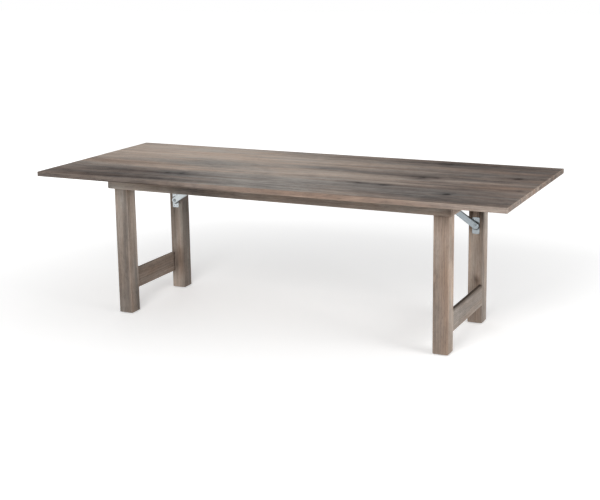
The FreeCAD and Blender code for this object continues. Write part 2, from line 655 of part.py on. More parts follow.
def leg_frame_nodes():
    """Nodes of the two leg frames and their struts."""
    legs = {"rear": leg(leg_plate_screws()), "front": leg([])}
    nodes = {f"{side}_{end}_leg": at_corner(legs[end], f"{side}_{end}") for side in SIDES for end in legs}
    for name, piece in (("stretcher", stretcher()), ("leg_plate", leg_plate()), ("strut", strut()),
                        ("lock_pin", lock_pin()), ("strut_rivet", strut_rivet()),
                        ("plate_screws", Part.makeCompound(leg_plate_screws()))):
        nodes.update({f"{side}_{name}": at_corner(piece, f"{side}_rear") for side in SIDES})
    for name, pieces in (("stretcher_dowels", stretcher_dowels()), ("pivot_bushes", [pivot_bush()]),
                         ("glides", [glide()])):
        nodes.update({f"{side}_{name}": Part.makeCompound(at_corners(pieces, side)) for side in SIDES})
    return nodes


os.makedirs("parts", exist_ok=True)
table = {**top_and_frame_nodes(), **hardware_nodes(), **leg_frame_nodes()}
for node, shape in table.items():
    shape.exportStep(f"parts/{node}.step")
print(len(table), "nodes, leg pivot at", (PIVOT_X, PIVOT_Z), "strut pivot at", (STRUT_X, STRUT_Z))
print("lock pin at", (round(PIN_X, 3), PIN_Z), "strut fold ratio", round(STRUT_FOLD_RATIO, 6))
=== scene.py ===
import json
import math

import bpy
import numpy as np
from mathutils import Matrix, Vector


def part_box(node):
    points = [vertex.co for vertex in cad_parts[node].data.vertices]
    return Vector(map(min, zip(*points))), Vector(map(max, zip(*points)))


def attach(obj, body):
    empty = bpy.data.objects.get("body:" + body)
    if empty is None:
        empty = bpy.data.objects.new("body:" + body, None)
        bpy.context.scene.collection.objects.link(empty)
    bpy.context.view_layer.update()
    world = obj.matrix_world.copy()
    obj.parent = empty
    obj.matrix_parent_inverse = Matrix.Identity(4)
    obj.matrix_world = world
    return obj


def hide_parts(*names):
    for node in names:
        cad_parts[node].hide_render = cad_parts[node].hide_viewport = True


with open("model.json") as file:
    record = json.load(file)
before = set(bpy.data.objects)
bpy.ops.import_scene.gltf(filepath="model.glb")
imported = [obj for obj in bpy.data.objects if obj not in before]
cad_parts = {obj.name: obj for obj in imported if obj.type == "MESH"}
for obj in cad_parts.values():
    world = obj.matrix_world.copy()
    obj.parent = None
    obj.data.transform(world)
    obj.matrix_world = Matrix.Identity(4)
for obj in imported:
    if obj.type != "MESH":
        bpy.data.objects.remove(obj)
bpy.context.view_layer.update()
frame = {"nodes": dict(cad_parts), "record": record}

# Folding farm table of grey-washed boards. Metres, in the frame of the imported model:
# +X along the top, +Y to the rear, +Z up, origin on the floor under the middle of the top.

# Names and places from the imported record
X, Y, Z = 0, 1, 2
RECORD = frame["record"]
BODY_OF = {node: body for body, nodes in RECORD["behaviour"]["bodies"].items() for node in nodes}
SLOT_OF = {part["node"]: part["material_slot"] for part in RECORD["subparts"]}
PIVOTS = {joint["name"]: joint["pos_m"] for joint in RECORD["behaviour"]["joints"]}
STRUT_PIVOT = PIVOTS["right_strut_fold"]

# Pieces that are built here, with the axis that their grain or shank follows
BOARDS = sorted(node for node, slot in SLOT_OF.items() if slot == "weathered_boards")
SIDES = ("left", "right")
CORNERS = tuple(f"{side}_{end}" for side in SIDES for end in ("front", "rear"))
RAILS = {"front_rail": X, "rear_rail": X, "left_end_rail": Y, "right_end_rail": Y, "centre_cross_rail": Y}
SCREWS = {"bracket_screws": Z, "rail_screws": Z, "left_plate_screws": Y, "right_plate_screws": Y}
RIVETS = {"catch_rivets": Y, "left_strut_rivet": Y, "right_strut_rivet": Y}

# Seeds of the random draws, counted on for each board, rail, leg and stretcher
BOARD_SEED = 100
RAIL_SEED = 200
LEG_SEED = 300
STRETCHER_SEED = 400
HEAD_SEED = 500
FINGER_SEED = 30

# Worn wood: eased edges and grid, sway of the planed faces, reach of the wear, the legs' rounded tops
BOARD_EDGE = 0.0009
FRAME_EDGE = 0.0022
EDGE_TURNS = 3
SHOULDER = 0.002
BOARD_PITCH = 0.006
FRAME_PITCH = 0.012
SWAY_WAVES = 7
SWAY_LENGTH = (0.12, 0.6)
SWAY_HEIGHT = 0.00012
WORN_REACH = 0.004
LEG_TOP_ROUND = 0.018
LEG_TOP_WARP = 0.060

# Log that a piece is sawn from: range of places along it, across its middle and away from its pith
LOG_LENGTH = 40
LOG_SPREAD = 0.10
LOG_DEPTH = (0.03, 0.11)

# Screws and rivets. Reaches across a head are shares of its radius
BORE_COLLAR = 0.0006
BORE_PLAY = 0.0003
BORE_CELLS = 6
HEAD_EASE = 0.0005
CROSS_ARM = (0.11, 0.15)
CROSS_REACH = (0.52, 0.60)
CROSS_BORDER = 0.8
CROSS_DEPTH = 0.0014
CROSS_RISE = 0.5
RIVET_DOME = 0.0009
RIVET_DIMPLE = 0.0016
DIMPLE_REACH = 0.34
CROWN_CELLS = 14
SHARP_ANGLE = math.radians(40)

# Grid lines over a screw's head, close on both sides of the recess's walls, and over a rivet's crown
HALF_CROSS = (*CROSS_ARM, *CROSS_REACH, CROSS_BORDER, 1)
CROSS_LINES = np.array([*(-line for line in HALF_CROSS[::-1]), *HALF_CROSS])
CROWN_LINES = np.linspace(-1, 1, CROWN_CELLS + 1)

# Decimals that tell points, bores and rings apart
POINT_DECIMALS = 7
BORE_DECIMALS = 6
RING_DECIMALS = 4

# Stains, painted shade and painted sheen by piece: middle, half sizes along X, Y and Z, shift of tone, shift
# of warmth
ALL = 9.0
STAINS_AND_PAINTED_LIGHT = {
    "top": (
        # Pale and warm behind, on the left: partly stain, partly painted sheen
        ((-0.85, 0.30, 0.75), (0.80, 0.34, ALL), 1.70, 0.35),
        ((-0.80, 0.22, 0.75), (0.32, 0.08, ALL), 0.25, 0.90),
        ((-0.90, 0.46, 0.75), (0.45, 0.06, ALL), 0.55, 0.00),
        ((-0.70, -0.16, 0.75), (0.42, 0.03, ALL), 0.55, 0.60),
        # Dark in front, on the left, partly stain and partly painted shade, with a pale streak
        ((-1.02, -0.09, 0.75), (0.34, 0.06, ALL), -0.30, 1.10),
        ((-0.76, -0.36, 0.75), (0.42, 0.13, ALL), -1.35, 0.10),
        ((-1.08, -0.45, 0.75), (0.30, 0.12, ALL), -0.75, 0.60),
        ((-0.52, -0.28, 0.75), (0.13, 0.055, ALL), -0.60, -0.80),
        ((-0.60, -0.45, 0.75), (0.24, 0.06, ALL), -0.55, 0.00),
        ((-0.98, -0.385, 0.75), (0.30, 0.028, ALL), 0.95, -0.10),
        ((-0.88, -0.30, 0.75), (0.24, 0.055, ALL), -0.60, -0.10),
        ((-0.85, -0.46, 0.75), (0.34, 0.045, ALL), -0.55, 0.10),
        ((-0.54, 0.03, 0.75), (0.30, 0.080, ALL), -0.70, -1.30),
        # Grey middle, with a warm streak
        ((-0.05, 0.00, 0.75), (0.60, 0.70, ALL), 0.55, 0.00),
        # Cool grey in front of the middle: partly stain, partly a painted reflection
        ((0.02, -0.34, 0.75), (0.44, 0.17, ALL), 0.10, -1.50),
        ((0.34, 0.07, 0.75), (0.44, 0.040, ALL), -1.00, -0.80),
        ((0.16, -0.06, 0.75), (0.36, 0.060, ALL), 0.65, 0.60),
        ((0.06, 0.105, 0.75), (0.16, 0.025, ALL), -0.50, -0.50),
        ((-0.05, 0.46, 0.75), (0.50, 0.10, ALL), -0.75, 0.10),
        ((0.00, -0.46, 0.75), (0.50, 0.05, ALL), -0.35, 0.00),
        # Dark right end, partly stain and partly painted shade, with pale and warm streaks
        ((0.98, 0.15, 0.75), (0.52, 0.90, ALL), -1.00, 0.20),
        ((1.10, -0.10, 0.75), (0.15, 0.050, ALL), 0.15, 1.50),
        ((0.98, 0.00, 0.75), (0.23, 0.022, ALL), 1.00, 0.40),
        ((0.62, 0.05, 0.75), (0.10, 0.050, ALL), -0.45, -0.30),
        ((0.80, 0.29, 0.75), (0.30, 0.060, ALL), 0.30, 0.00),
        ((0.75, 0.44, 0.75), (0.42, 0.08, ALL), -0.85, 0.05),
        ((0.55, -0.12, 0.75), (0.28, 0.05, ALL), 0.45, 0.45),
        ((0.49, -0.21, 0.75), (0.18, 0.028, ALL), -0.90, -0.30),
        ((0.80, -0.33, 0.75), (0.26, 0.10, ALL), -0.25, -0.75),
        ((1.00, -0.45, 0.75), (0.40, 0.06, ALL), -0.85, 0.00),
        ((1.19, 0.20, 0.75), (0.06, 0.16, ALL), -0.35, 0.00),
        # Front edge and right end's edge
        ((-0.80, -0.508, 0.75), (0.50, 0.007, ALL), -0.60, -0.20),
        # Painted shade along the lower border of the front edge
        ((-0.42, -0.508, 0.738), (0.34, 0.007, 0.005), -2.20, 0.00),
        ((-0.40, -0.508, 0.75), (0.26, 0.007, ALL), -0.75, 0.20),
        ((0.35, -0.508, 0.75), (0.70, 0.007, ALL), -1.10, 2.20),
        ((1.00, -0.508, 0.75), (0.35, 0.007, ALL), 0.80, -0.30),
        ((1.219, 0.30, 0.75), (0.007, 0.45, ALL), -0.20, 0.40),
    ),
    "front_rail": (
        # Whole rail, darker as painted shade, then places along it from the left
        ((0.00, -0.33, 0.70), (ALL, ALL, ALL), -0.55, 0.10),
        ((-0.91, -0.33, 0.70), (0.018, ALL, ALL), -0.90, 0.00),
        ((-0.85, -0.33, 0.66), (0.28, ALL, ALL), 1.65, -1.25),
        ((-0.38, -0.33, 0.70), (0.16, ALL, ALL), -0.90, -0.60),
        ((0.76, -0.331, 0.672), (0.16, 0.02, 0.022), 0.35, 0.10),
        # Painted shade at the rail's right end, over the leg
        ((0.91, -0.331, 0.71), (0.014, 0.02, 0.035), -0.80, 0.50),
        # Painted shadow under the top
        ((0.00, -0.331, 0.738), (ALL, 0.02, 0.018), -0.60, 0.00),
    ),
    "left_front_leg": (
        # Darker towards the floor
        ((-0.86, -0.265, 0.04), (ALL, ALL, 0.36), -0.92, -0.55),
        # Front face
        ((-0.90, -0.302, 0.56), (0.050, 0.05, 0.26), 0.55, -0.65),
        ((-0.832, -0.303, 0.56), (0.012, 0.02, 0.16), -0.90, -0.40),
        ((-0.850, -0.303, 0.36), (0.008, 0.02, 0.20), -0.50, -0.30),
        ((-0.838, -0.303, 0.12), (0.016, 0.005, 0.20), -0.15, -0.10),
        ((-0.893, -0.303, 0.38), (0.010, 0.005, 0.26), -0.30, -0.20),
        ((-0.868, -0.303, 0.06), (0.022, 0.005, 0.10), 0.40, -0.30),
        ((-0.845, -0.303, 0.60), (0.014, 0.005, 0.14), 0.35, -0.10),
        # Right face
        ((-0.822, -0.228, 0.46), (0.02, 0.06, 0.28), 1.10, -0.20),
        # Painted shadow under the rail
        ((-0.822, -0.265, 0.66), (0.010, 0.06, 0.020), -0.90, 0.30),
        ((-0.822, -0.290, 0.08), (0.004, 0.020, 0.14), 0.30, 0.60),
        ((-0.822, -0.232, 0.08), (0.004, 0.012, 0.14), -0.60, 0.50),
    ),
    "left_rear_leg": (
        # Right face
        ((-0.822, 0.265, 0.30), (0.010, ALL, ALL), -0.70, -0.50),
        # Front face
        ((-0.840, 0.228, 0.46), (0.018, 0.02, 0.22), 1.10, -0.40),
        ((-0.872, 0.228, 0.46), (0.010, 0.02, 0.14), -0.30, -0.40),
        ((-0.827, 0.228, 0.43), (0.010, 0.005, 0.16), 0.65, 0.00),
        ((-0.850, 0.228, 0.57), (0.020, 0.02, 0.05), 0.60, 0.00),
        ((-0.897, 0.228, 0.03), (0.030, 0.02, 0.08), 0.70, 0.70),
        # Painted shadow of the strut, then darker places beside the stretcher
        ((-0.837, 0.228, 0.495), (0.007, 0.005, 0.009), -2.60, 0.30),
        ((-0.827, 0.228, 0.503), (0.007, 0.005, 0.008), -1.80, 0.40),
        ((-0.85, 0.228, 0.22), (0.05, 0.02, 0.04), -0.25, 0.20),
        ((-0.86, 0.228, 0.145), (0.04, 0.005, 0.06), -1.20, 0.60),
    ),
    "right_front_leg": (
        # Front face
        ((0.880, -0.303, 0.33), (0.026, 0.005, ALL), -0.40, 0.55),
        ((0.824, -0.303, 0.60), (0.010, 0.03, 0.25), 0.40, 0.10),
        ((0.824, -0.303, 0.30), (0.006, 0.02, 0.05), -1.00, 0.00),
        ((0.838, -0.303, 0.22), (0.026, 0.005, 0.40), -0.60, 0.25),
        ((0.860, -0.303, 0.10), (ALL, 0.005, 0.45), -0.32, 0.20),
        ((0.880, -0.303, 0.05), (0.026, 0.005, 0.20), 0.15, 0.10),
        # Painted shadow under the rail
        ((0.860, -0.303, 0.658), (ALL, 0.02, 0.008), -0.80, 0.20),
        # Right face
        ((0.897, -0.25, 0.37), (0.010, 0.05, 0.09), 0.75, 0.80),
        ((0.897, -0.26, 0.64), (0.010, 0.05, 0.06), 0.60, 0.10),
    ),
    "right_rear_leg": (
        # Front face, with a knot beside the stretcher and painted shadow under the top
        ((0.840, 0.228, 0.42), (0.030, 0.02, 0.22), 0.90, 0.55),
        ((0.890, 0.228, 0.40), (0.012, 0.02, 0.30), -0.40, 0.30),
        ((0.866, 0.228, 0.225), (0.014, 0.02, 0.020), -1.60, 0.10),
        ((0.850, 0.228, 0.605), (ALL, 0.004, 0.085), -2.50, 0.45),
        ((0.860, 0.228, 0.040), (ALL, 0.005, 0.080), -0.50, 0.30),
        # Right face
        ((0.897, 0.265, 0.30), (0.010, ALL, ALL), 0.25, -0.70),
        ((0.897, 0.235, 0.40), (0.010, 0.02, ALL), -0.50, -0.60),
    ),
    "left_stretcher": (
        # Whole stretcher, then painted shade where it meets the rear leg
        ((-0.88, 0.0, 0.15), (ALL, ALL, ALL), -0.45, 0.10),
        ((-0.88, 0.230, 0.15), (ALL, 0.012, ALL), -2.20, 0.10),
    ),
    "right_stretcher": (
        # Whole stretcher, then painted shade on its upper edge
        ((0.88, 0.0, 0.15), (ALL, ALL, ALL), -0.20, -0.70),
        ((0.888, 0.0, 0.206), (ALL, ALL, 0.009), -1.90, 0.20),
    ),
}

# Fingers that a patch of tone ends in: count of waves across the grain, their pitch and how far they reach
FINGERS = 9
FINGER_PITCH = (0.022, 0.16)
FINGER_LENGTH = 0.09
FINGER_SHARE = 0.3

# Knots of the top: place, radius and darkness
KNOTS = (
    ((-0.580, -0.300), 0.010, 1.0),
    ((-0.500, -0.285), 0.011, 0.8),
    ((0.413, -0.205), 0.015, 0.9),
    ((0.543, -0.213), 0.016, 0.6),
    ((0.655, 0.024), 0.022, 0.85),
    ((0.712, 0.040), 0.011, 0.9),
    ((0.660, 0.415), 0.018, 1.0),
    ((0.889, -0.315), 0.017, 1.5),
    ((1.083, 0.147), 0.024, 1.2),
    ((1.165, -0.125), 0.015, 0.5),
)

# Core and halo of a knot, and how far the grain bends round it. Lengths and widths are in its radii
KNOT_TONE = -1.0
KNOT_WARMTH = 0.1
HALO_TONE = -0.55
HALO_LENGTH = 2.8
HALO_WIDTH = 2.2
KNOT_BEND = 0.75
BEND_LENGTH = 4.0
BEND_WIDTH = 2.2

# Colours of the wood in sRGB from dark to light, cool and warm, and their places on the scale of tone
WOOD_PLACES = (0.0, 0.17, 0.5, 0.83, 1.0)
BOARD_COOL = ((50, 47, 45), (80, 78, 77), (136, 131, 127), (190, 183, 176), (210, 204, 198))
BOARD_WARM = ((59, 46, 38), (92, 80, 74), (156, 133, 118), (212, 186, 166), (226, 203, 184))
FRAME_COOL = ((40, 38, 36), (70, 67, 64), (142, 134, 127), (196, 187, 178), (218, 211, 204))
FRAME_WARM = ((49, 36, 28), (79, 61, 49), (155, 130, 112), (208, 180, 157), (227, 202, 180))
WORN_COLOUR = (192, 174, 158)
WORN_SHARE = 0.5

# Figure of the wood: scales along, across and through the grain, detail, roughness and distortion
WOOD_FIGURE = {
    "broad": ((0.9, 14, 14), 3, 0.5, 0.3),
    "blotch": ((5, 11, 11), 3, 0.6, 0.5),
    "streak": ((1.6, 30, 30), 3, 0.6, 0.6),
    "fleck": ((20, 42, 42), 2, 0.5, 0.4),
    "band": ((2.4, 62, 62), 4, 0.55, 0.4),
    "line": ((4, 230, 230), 3, 0.6, 0.3),
    "fibre": ((16, 640, 640), 2, 0.5),
}
PORE_NOISE = ((42, 1300, 1300), 1, 0.5)
PORE_RANGE = (0.58, 0.68)
HUE_NOISE = ((2.6, 16, 16), 3, 0.6)
RING_KIND = {"wave_type": "RINGS", "rings_direction": "X", "wave_profile": "SAW"}
RING_STRETCH = (0.15, 1, 1)
RING_WAVE = {"Scale": 42.0, "Distortion": 5.0, "Detail": 2.0, "Detail_Scale": 0.6}

# Shares of the figure in the tone of boards and frame, and in the relief of both
BOARD_SHARES = {"broad": 0.34, "blotch": 0.30, "streak": 0.17, "fleck": 0.24, "band": 0.20, "line": 0.18,
                "ring": 0.12, "fibre": 0.15, "pore": -0.16}
FRAME_SHARES = {"broad": 0.26, "blotch": 0.26, "streak": 0.14, "fleck": 0.12, "band": 0.18, "line": 0.13,
                "ring": 0.09, "fibre": 0.15, "pore": -0.16}
RELIEF_SHARES = {"ring": 0.3, "line": 0.6, "pore": -0.5}

# Middle of a scale from 0 to 1, steps of tone and warmth, roughness, gloss and bump of the wood
MIDDLE = 0.5
TONE_STEP = 0.20
WARMTH_STEP = 0.333
PLAIN_WARMTH = 0.333
HUE_SHARE = 1.4
BOARD_ROUGH = 0.75
FRAME_ROUGH = 0.70
BAND_GLOSS = -0.25
WOOD_SPECULAR = 0.01
WOOD_BUMP = (0.35, 0.0003)

# Colours of the metals and plastics
BRIGHT_ZINC = (0.62, 0.67, 0.69)
# Darker copies of the zinc for the right brace, its plate and its strut: painted shade
SHADED_PLATE_ZINC = (0.43, 0.48, 0.51)
SHADED_ZINC = (0.40, 0.45, 0.48)
FASTENER_ZINC = (0.46, 0.48, 0.50)
SPRING_STEEL = (0.34, 0.36, 0.40)
RIVET_STEEL = (0.33, 0.37, 0.39)
BRASS = (0.74, 0.60, 0.32)
NYLON = (0.80, 0.78, 0.73)
BLACK_PLASTIC = (0.035, 0.035, 0.035)

# Plated metal: noises, their shares, darkest tint, range of tone, and strength and height of the bump
METAL_CLOUD = ((45, 45, 45), 4, 0.6)
METAL_RUB = ((120, 900, 900), 2, 0.5)
CRYSTAL_SHARE = 0.35
RUB_SHARE = 0.5
METAL_DARK = 0.78
METAL_RANGE = (0.2, 0.8)
METAL_GLOSS = 0.22
METAL_BUMP = (0.10, 0.0002)

# Painted shade round the struts' rivets: where it starts to fade and where it ends, away from the pivot
LEFT_PIVOT_SHADE = (0.0192, 0.0250)
RIGHT_PIVOT_SHADE = (0.0180, 0.0265)
PIVOT_SHADE_DEPTH = 0.90
PIVOT_SHADE_COLOUR = (0.06, 0.055, 0.05)

# Moulded plastic and plain beech, in the same terms
SOFT_RANGE = (0.3, 0.7)
PLASTIC_CLOUD = ((90, 90, 90), 3, 0.5)
PLASTIC_PEBBLE = ((1500, 1500, 1500), 2, 0.5)
PLASTIC_DARK = 0.8
PLASTIC_GLOSS = 0.2
PLASTIC_BUMP = (0.15, 0.0002)
BEECH_DARK = (176, 142, 104)
BEECH_LIGHT = (206, 176, 136)
BEECH_STREAK = ((300, 20, 300), 3, 0.5)
BEECH_FLECK = ((900, 150, 900), 2, 0.5)
FLECK_SHARE = 0.5
BEECH_ROUGH = 0.6
BEECH_GLOSS = 0.2
BEECH_BUMP = (0.2, 0.0002)

# Stage: light of the world, the floor's glow by distance from the middle, and the lamps
WORLD_LIGHT = 0.36
WORLD_WHITE = 1.0
FLOOR_HALF = 30.0
FLOOR_COLOUR = (0.88, 0.88, 0.88, 1)
GLOW_REACH = (0.6, 4.0)
GLOW_LEVELS = (0.34, 0.80)
LAMPS = {
    "side_lamp": {"place": (3.4, -0.6, 1.2), "target": (0.6, 0, 0.5), "size": (1.6, 1.2), "power": 44},
    "front_lamp": {"place": (0.6, -4.6, 2.9), "target": (0, 0, 0.5), "size": (2.2, 1.6), "power": 140},
    "rear_lamp": {"place": (-3.4, 4.2, 1.5), "target": (-0.3, 0, 0.7), "size": (2.4, 1.2), "power": 27},
}

# Camera, found from the corners and outlines of the table in the photograph
CAMERA_PLACE = (2.5352, -5.2551, 1.8072)
CAMERA_YAW = math.radians(25.658)
CAMERA_PITCH = math.radians(11.849)
CAMERA_ROLL = math.radians(-0.864)
CAMERA_LENS = 71.0
CAMERA_SENSOR = 36.0
CAMERA_SHIFT_Y = -0.075


# Surfaces

def other_axes(axis):
    """The two axes that follow an axis in turn."""
    return (axis + 1) % 3, (axis + 2) % 3


def grid_lines(low, high, radius, pitch):
    """Places from low to high: even turns over each rounded edge, a shoulder, then about a pitch apart."""
    turns = radius * np.tan(np.linspace(0, math.pi / 4, EDGE_TURNS + 1))[::-1]
    start = low + radius + SHOULDER
    end = high - radius - SHOULDER
    middle = np.linspace(start, end, max(2, round((end - start) / pitch) + 1))
    return np.concatenate([low + radius - turns, middle, high - radius + turns[::-1]])


def grid_quads(rows, columns):
    """Quads of a grid that face the third way round from its rows and columns."""
    at = np.arange(rows * columns).reshape(rows, columns)
    return np.stack([at[:-1, :-1], at[1:, :-1], at[1:, 1:], at[:-1, 1:]], -1).reshape(-1, 4)


def joined(surfaces):
    """One surface from several: their points in a row, with the quads of each counted on."""
    sizes = [len(points) for points, _ in surfaces]
    starts = np.cumsum([0] + sizes[:-1])
    points = np.concatenate([points for points, _ in surfaces])
    return points, np.concatenate([quads + start for (_, quads), start in zip(surfaces, starts)])


def merged(points, quads):
    """Surface whose shared points are counted once."""
    points, same = np.unique(points.round(POINT_DECIMALS), axis=0, return_inverse=True)
    return points, same.reshape(-1)[quads]


def box_surface(lines):
    """Closed surface of a box: six grids spanned by the lines of two directions."""
    faces = []
    for axis in (X, Y, Z):
        a, b = other_axes(axis)
        u, v = np.meshgrid(lines[a], lines[b], indexing="ij")
        quads = grid_quads(*u.shape)
        for level, outward in ((lines[axis][0], quads[:, ::-1]), (lines[axis][-1], quads)):
            face = np.empty(u.shape + (3,))
            face[..., axis], face[..., a], face[..., b] = level, u, v
            faces.append((face.reshape(-1, 3), outward))
    return merged(*joined(faces))


def disc_grid(lines):
    """Square grid in u and v drawn in to a disc of radius 1: (u sqrt(1 - v v / 2), v sqrt(1 - u u / 2))."""
    u, v = (g.reshape(-1) for g in np.meshgrid(lines, lines, indexing="ij"))
    return u * np.sqrt(1 - v ** 2 / 2), v * np.sqrt(1 - u ** 2 / 2), u, v


def rim(count):
    """Places of a square grid's border points, anticlockwise."""
    at = np.arange(count * count).reshape(count, count)
    return np.concatenate([at[:-1, 0], at[-1, :-1], at[:0:-1, -1], at[0, :0:-1]])


def band(first, second):
    """Quads between two closed rings of as many points."""
    return np.stack([first, second, np.roll(second, -1), np.roll(first, -1)], axis=1)


def bore_lines(lines, middles, half):
    """Grid lines, with those near a bore's square replaced by even cells across it."""
    middles = np.unique(np.round(middles, BORE_DECIMALS))
    clear = np.abs(lines[:, None] - middles).min(axis=1) > half + BORE_PLAY
    cells = middles[:, None] + half * np.linspace(-1, 1, BORE_CELLS + 1)
    return np.unique(np.concatenate([lines[clear], cells.reshape(-1)]).round(POINT_DECIMALS))


def bored(points, quads, middle, half, radius, low, floor):
    """Surface with a round hole in its bottom face: a square drawn in to the mouth, a wall and a floor."""
    centre = points[quads].mean(axis=1)
    inside = (np.abs(centre[:, :2] - middle) < half).all(axis=1) & (centre[:, Z] < low + BORE_PLAY)
    count = BORE_CELLS + 1
    border = rim(count)
    x, y, u, v = disc_grid(np.linspace(-1, 1, count))
    level = np.ones(len(x))
    square = np.stack([middle[0] + half * u, middle[1] + half * v, low * level], axis=1)[border]
    round_x, round_y = middle[0] + radius * x, middle[1] + radius * y
    mouth = np.stack([round_x, round_y, low * level], axis=1)[border]
    seat = np.stack([round_x, round_y, floor * level], axis=1)
    first = len(points) + np.arange(len(border))
    second = first + len(border)
    start = second[-1] + 1
    seat_quads = start + grid_quads(count, count)[:, ::-1]
    hole = [band(first, second), band(second, start + border), seat_quads]
    return merged(np.concatenate([points, square, mouth, seat]), np.concatenate([quads[~inside], *hole]))


def rounded(points, low, high, radius):
    """Rounded box: each point is carried to a fixed radius off the box that lies one radius inside."""
    inner = np.clip(points, low + radius, high - radius)
    out = points - inner
    size = np.linalg.norm(out, axis=1, keepdims=True)
    normal = np.where(size > 0, out / np.maximum(size, radius / 2), 0)
    return inner + radius * normal, normal


def sway(points, seed):
    """Gentle unevenness of planed wood: a sum of sine waves of seeded length, heading and phase."""
    draw = np.random.default_rng(seed)
    heading = draw.normal(size=(SWAY_WAVES, 3))
    length = draw.uniform(*SWAY_LENGTH, SWAY_WAVES)
    phase = draw.uniform(0, 2 * math.pi, SWAY_WAVES)
    waves = 2 * math.pi * heading / (np.linalg.norm(heading, axis=1) * length)[:, None]
    return SWAY_HEIGHT * np.sin(points @ waves.T + phase).sum(axis=1) / math.sqrt(SWAY_WAVES)


def edge_wear(points, low, high):
    """1 on an edge of a box, fading with the distance to the second nearest of its faces."""
    nearest = np.minimum(points - low, high - points)
    return np.exp(-np.maximum(np.sort(nearest, axis=1)[:, 1], 0) / WORN_REACH)


def log_place(points, axis, seed):
    """Place in the log a piece was sawn from: along its grain, then across and through from the pith."""
    draw = np.random.default_rng(seed)
    middle = (points.min(axis=0) + points.max(axis=0)) / 2
    a, b = other_axes(axis)
    across = points[:, a] - middle[a] + draw.uniform(-LOG_SPREAD, LOG_SPREAD)
    through = points[:, b] - middle[b] + draw.choice((-1, 1)) * draw.uniform(*LOG_DEPTH)
    along = points[:, axis] + draw.uniform(0, LOG_LENGTH)
    return np.stack([along, across, through], axis=1)


# Stains and painted light

def fingers(points, along):
    """Shift along the grain, about 1 either way, that gives the patches of tone fingers: seeded sine waves
    across it.
    """
    draw = np.random.default_rng(FINGER_SEED)
    pitch = draw.uniform(*FINGER_PITCH, FINGERS)
    phase = draw.uniform(0, 2 * math.pi, FINGERS)
    across = np.delete(points, along, axis=1).sum(axis=1)
    return np.sin(2 * math.pi * across[:, None] / pitch + phase).sum(axis=1) / math.sqrt(FINGERS)


def bell(points, middle, half):
    """Soft oval patch: 1 at its middle, falling as a bell curve along each axis."""
    return np.exp(-(((points - np.array(middle)) / np.array(half)) ** 2).sum(axis=1))


def stain_and_light_tone(points, along, places, knots=()):
    """Tone and warmth of a surface: the sum of its soft patches, painted shade and sheen among them, and its
    knots.
    """
    shift = fingers(points, along)
    tone, warmth = np.zeros(len(points)), np.zeros(len(points))
    for middle, half, tone_shift, warm_shift in places:
        ragged = points.copy()
        ragged[:, along] += shift * min(FINGER_LENGTH, FINGER_SHARE * half[along])
        patch = bell(ragged, middle, half)
        tone += tone_shift * patch
        warmth += warm_shift * patch
    for middle, radius, darkness in knots:
        core = bell(points[:, :2], middle, (radius, radius))
        halo = bell(points[:, :2], middle, (HALO_LENGTH * radius, HALO_WIDTH * radius))
        tone += darkness * (KNOT_TONE * core + HALO_TONE * halo)
        warmth += KNOT_WARMTH * core
    return tone, warmth


def around_knots(across, points, knots):
    """Place across the grain, drawn together beside each knot so that the bands part around it."""
    for middle, radius, _ in knots:
        off = points[:, :2] - middle
        pull = bell(off, (0, 0), (BEND_LENGTH * radius, BEND_WIDTH * radius))
        across = across - KNOT_BEND * off[:, 1] * pull
    return across


# Pieces

def make_piece(node, points, quads, material):
    """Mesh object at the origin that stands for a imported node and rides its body."""
    mesh = bpy.data.meshes.new(f"worn_{node}")
    mesh.from_pydata(points, [], quads)
    mesh.shade_smooth()
    mesh.materials.append(material)
    piece = bpy.data.objects.new(mesh.name, mesh)
    bpy.context.collection.objects.link(piece)
    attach(piece, BODY_OF[node])
    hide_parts(node)
    return piece


def store(piece, name, values):
    """Vector attribute on a piece's points."""
    attribute = piece.data.attributes.new(name, "FLOAT_VECTOR", "POINT")
    attribute.data.foreach_set("vector", np.asarray(values, dtype=np.float32).reshape(-1))


def node_box(node):
    """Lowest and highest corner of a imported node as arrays."""
    low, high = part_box(node)
    return np.array(low), np.array(high)


def solids(node):
    """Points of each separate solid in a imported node: points that share triangles take the lowest label."""
    mesh = frame["nodes"][node].data
    points = np.empty(3 * len(mesh.vertices))
    corners = np.empty(len(mesh.loops), dtype=np.int64)
    mesh.vertices.foreach_get("co", points)
    mesh.loops.foreach_get("vertex_index", corners)
    points, triangles = merged(points.reshape(-1, 3), corners.reshape(-1, 3))
    label = np.arange(len(points))
    before = None
    while before is None or (label != before).any():
        before = label.copy()
        np.minimum.at(label, triangles, before[triangles].min(axis=1)[:, None])
    return [points[label == k] for k in np.unique(label)]


def turned_rings(points, axis):
    """Middle of a turned solid and its rings from head to tip, each a place along the axis and a radius."""
    middle = (points.min(axis=0) + points.max(axis=0)) / 2
    off = np.delete(points - middle, axis, axis=1)
    pairs = np.stack([points[:, axis], np.hypot(*off.T)], axis=1)
    pairs = np.unique(pairs.round(RING_DECIMALS), axis=0)
    places = np.unique(pairs[:, 0])
    widest = {place: pairs[pairs[:, 0] == place, 1].max() for place in places}
    if widest[places[0]] < widest[places[-1]]:
        places = places[::-1]
    rings = [(places[0], widest[places[0]])]
    for place in places[1:]:
        radii = sorted(set(pairs[pairs[:, 0] == place, 1]), key=lambda r: abs(r - rings[-1][1]))
        rings += [(place, r) for r in (radii if place != places[-1] else [widest[place]])]
    return middle, rings


def cross_recess(x, y, u, v):
    """Height over a screw's head: two crossing arms sunk into it, less deep towards their ends."""
    reach, across = np.maximum(abs(u), abs(v)), np.minimum(abs(u), abs(v))
    inside = (reach <= CROSS_REACH[0]) & (across <= CROSS_ARM[0])
    return np.where(inside, CROSS_DEPTH * (CROSS_RISE * reach / CROSS_REACH[0] - 1), 0)


def rivet_crown(x, y, u, v):
    """Height of a rivet's crown: a low dome with a dimple in its middle."""
    square = x ** 2 + y ** 2
    return RIVET_DOME * (1 - square) - RIVET_DIMPLE * np.exp(-square / DIMPLE_REACH ** 2)


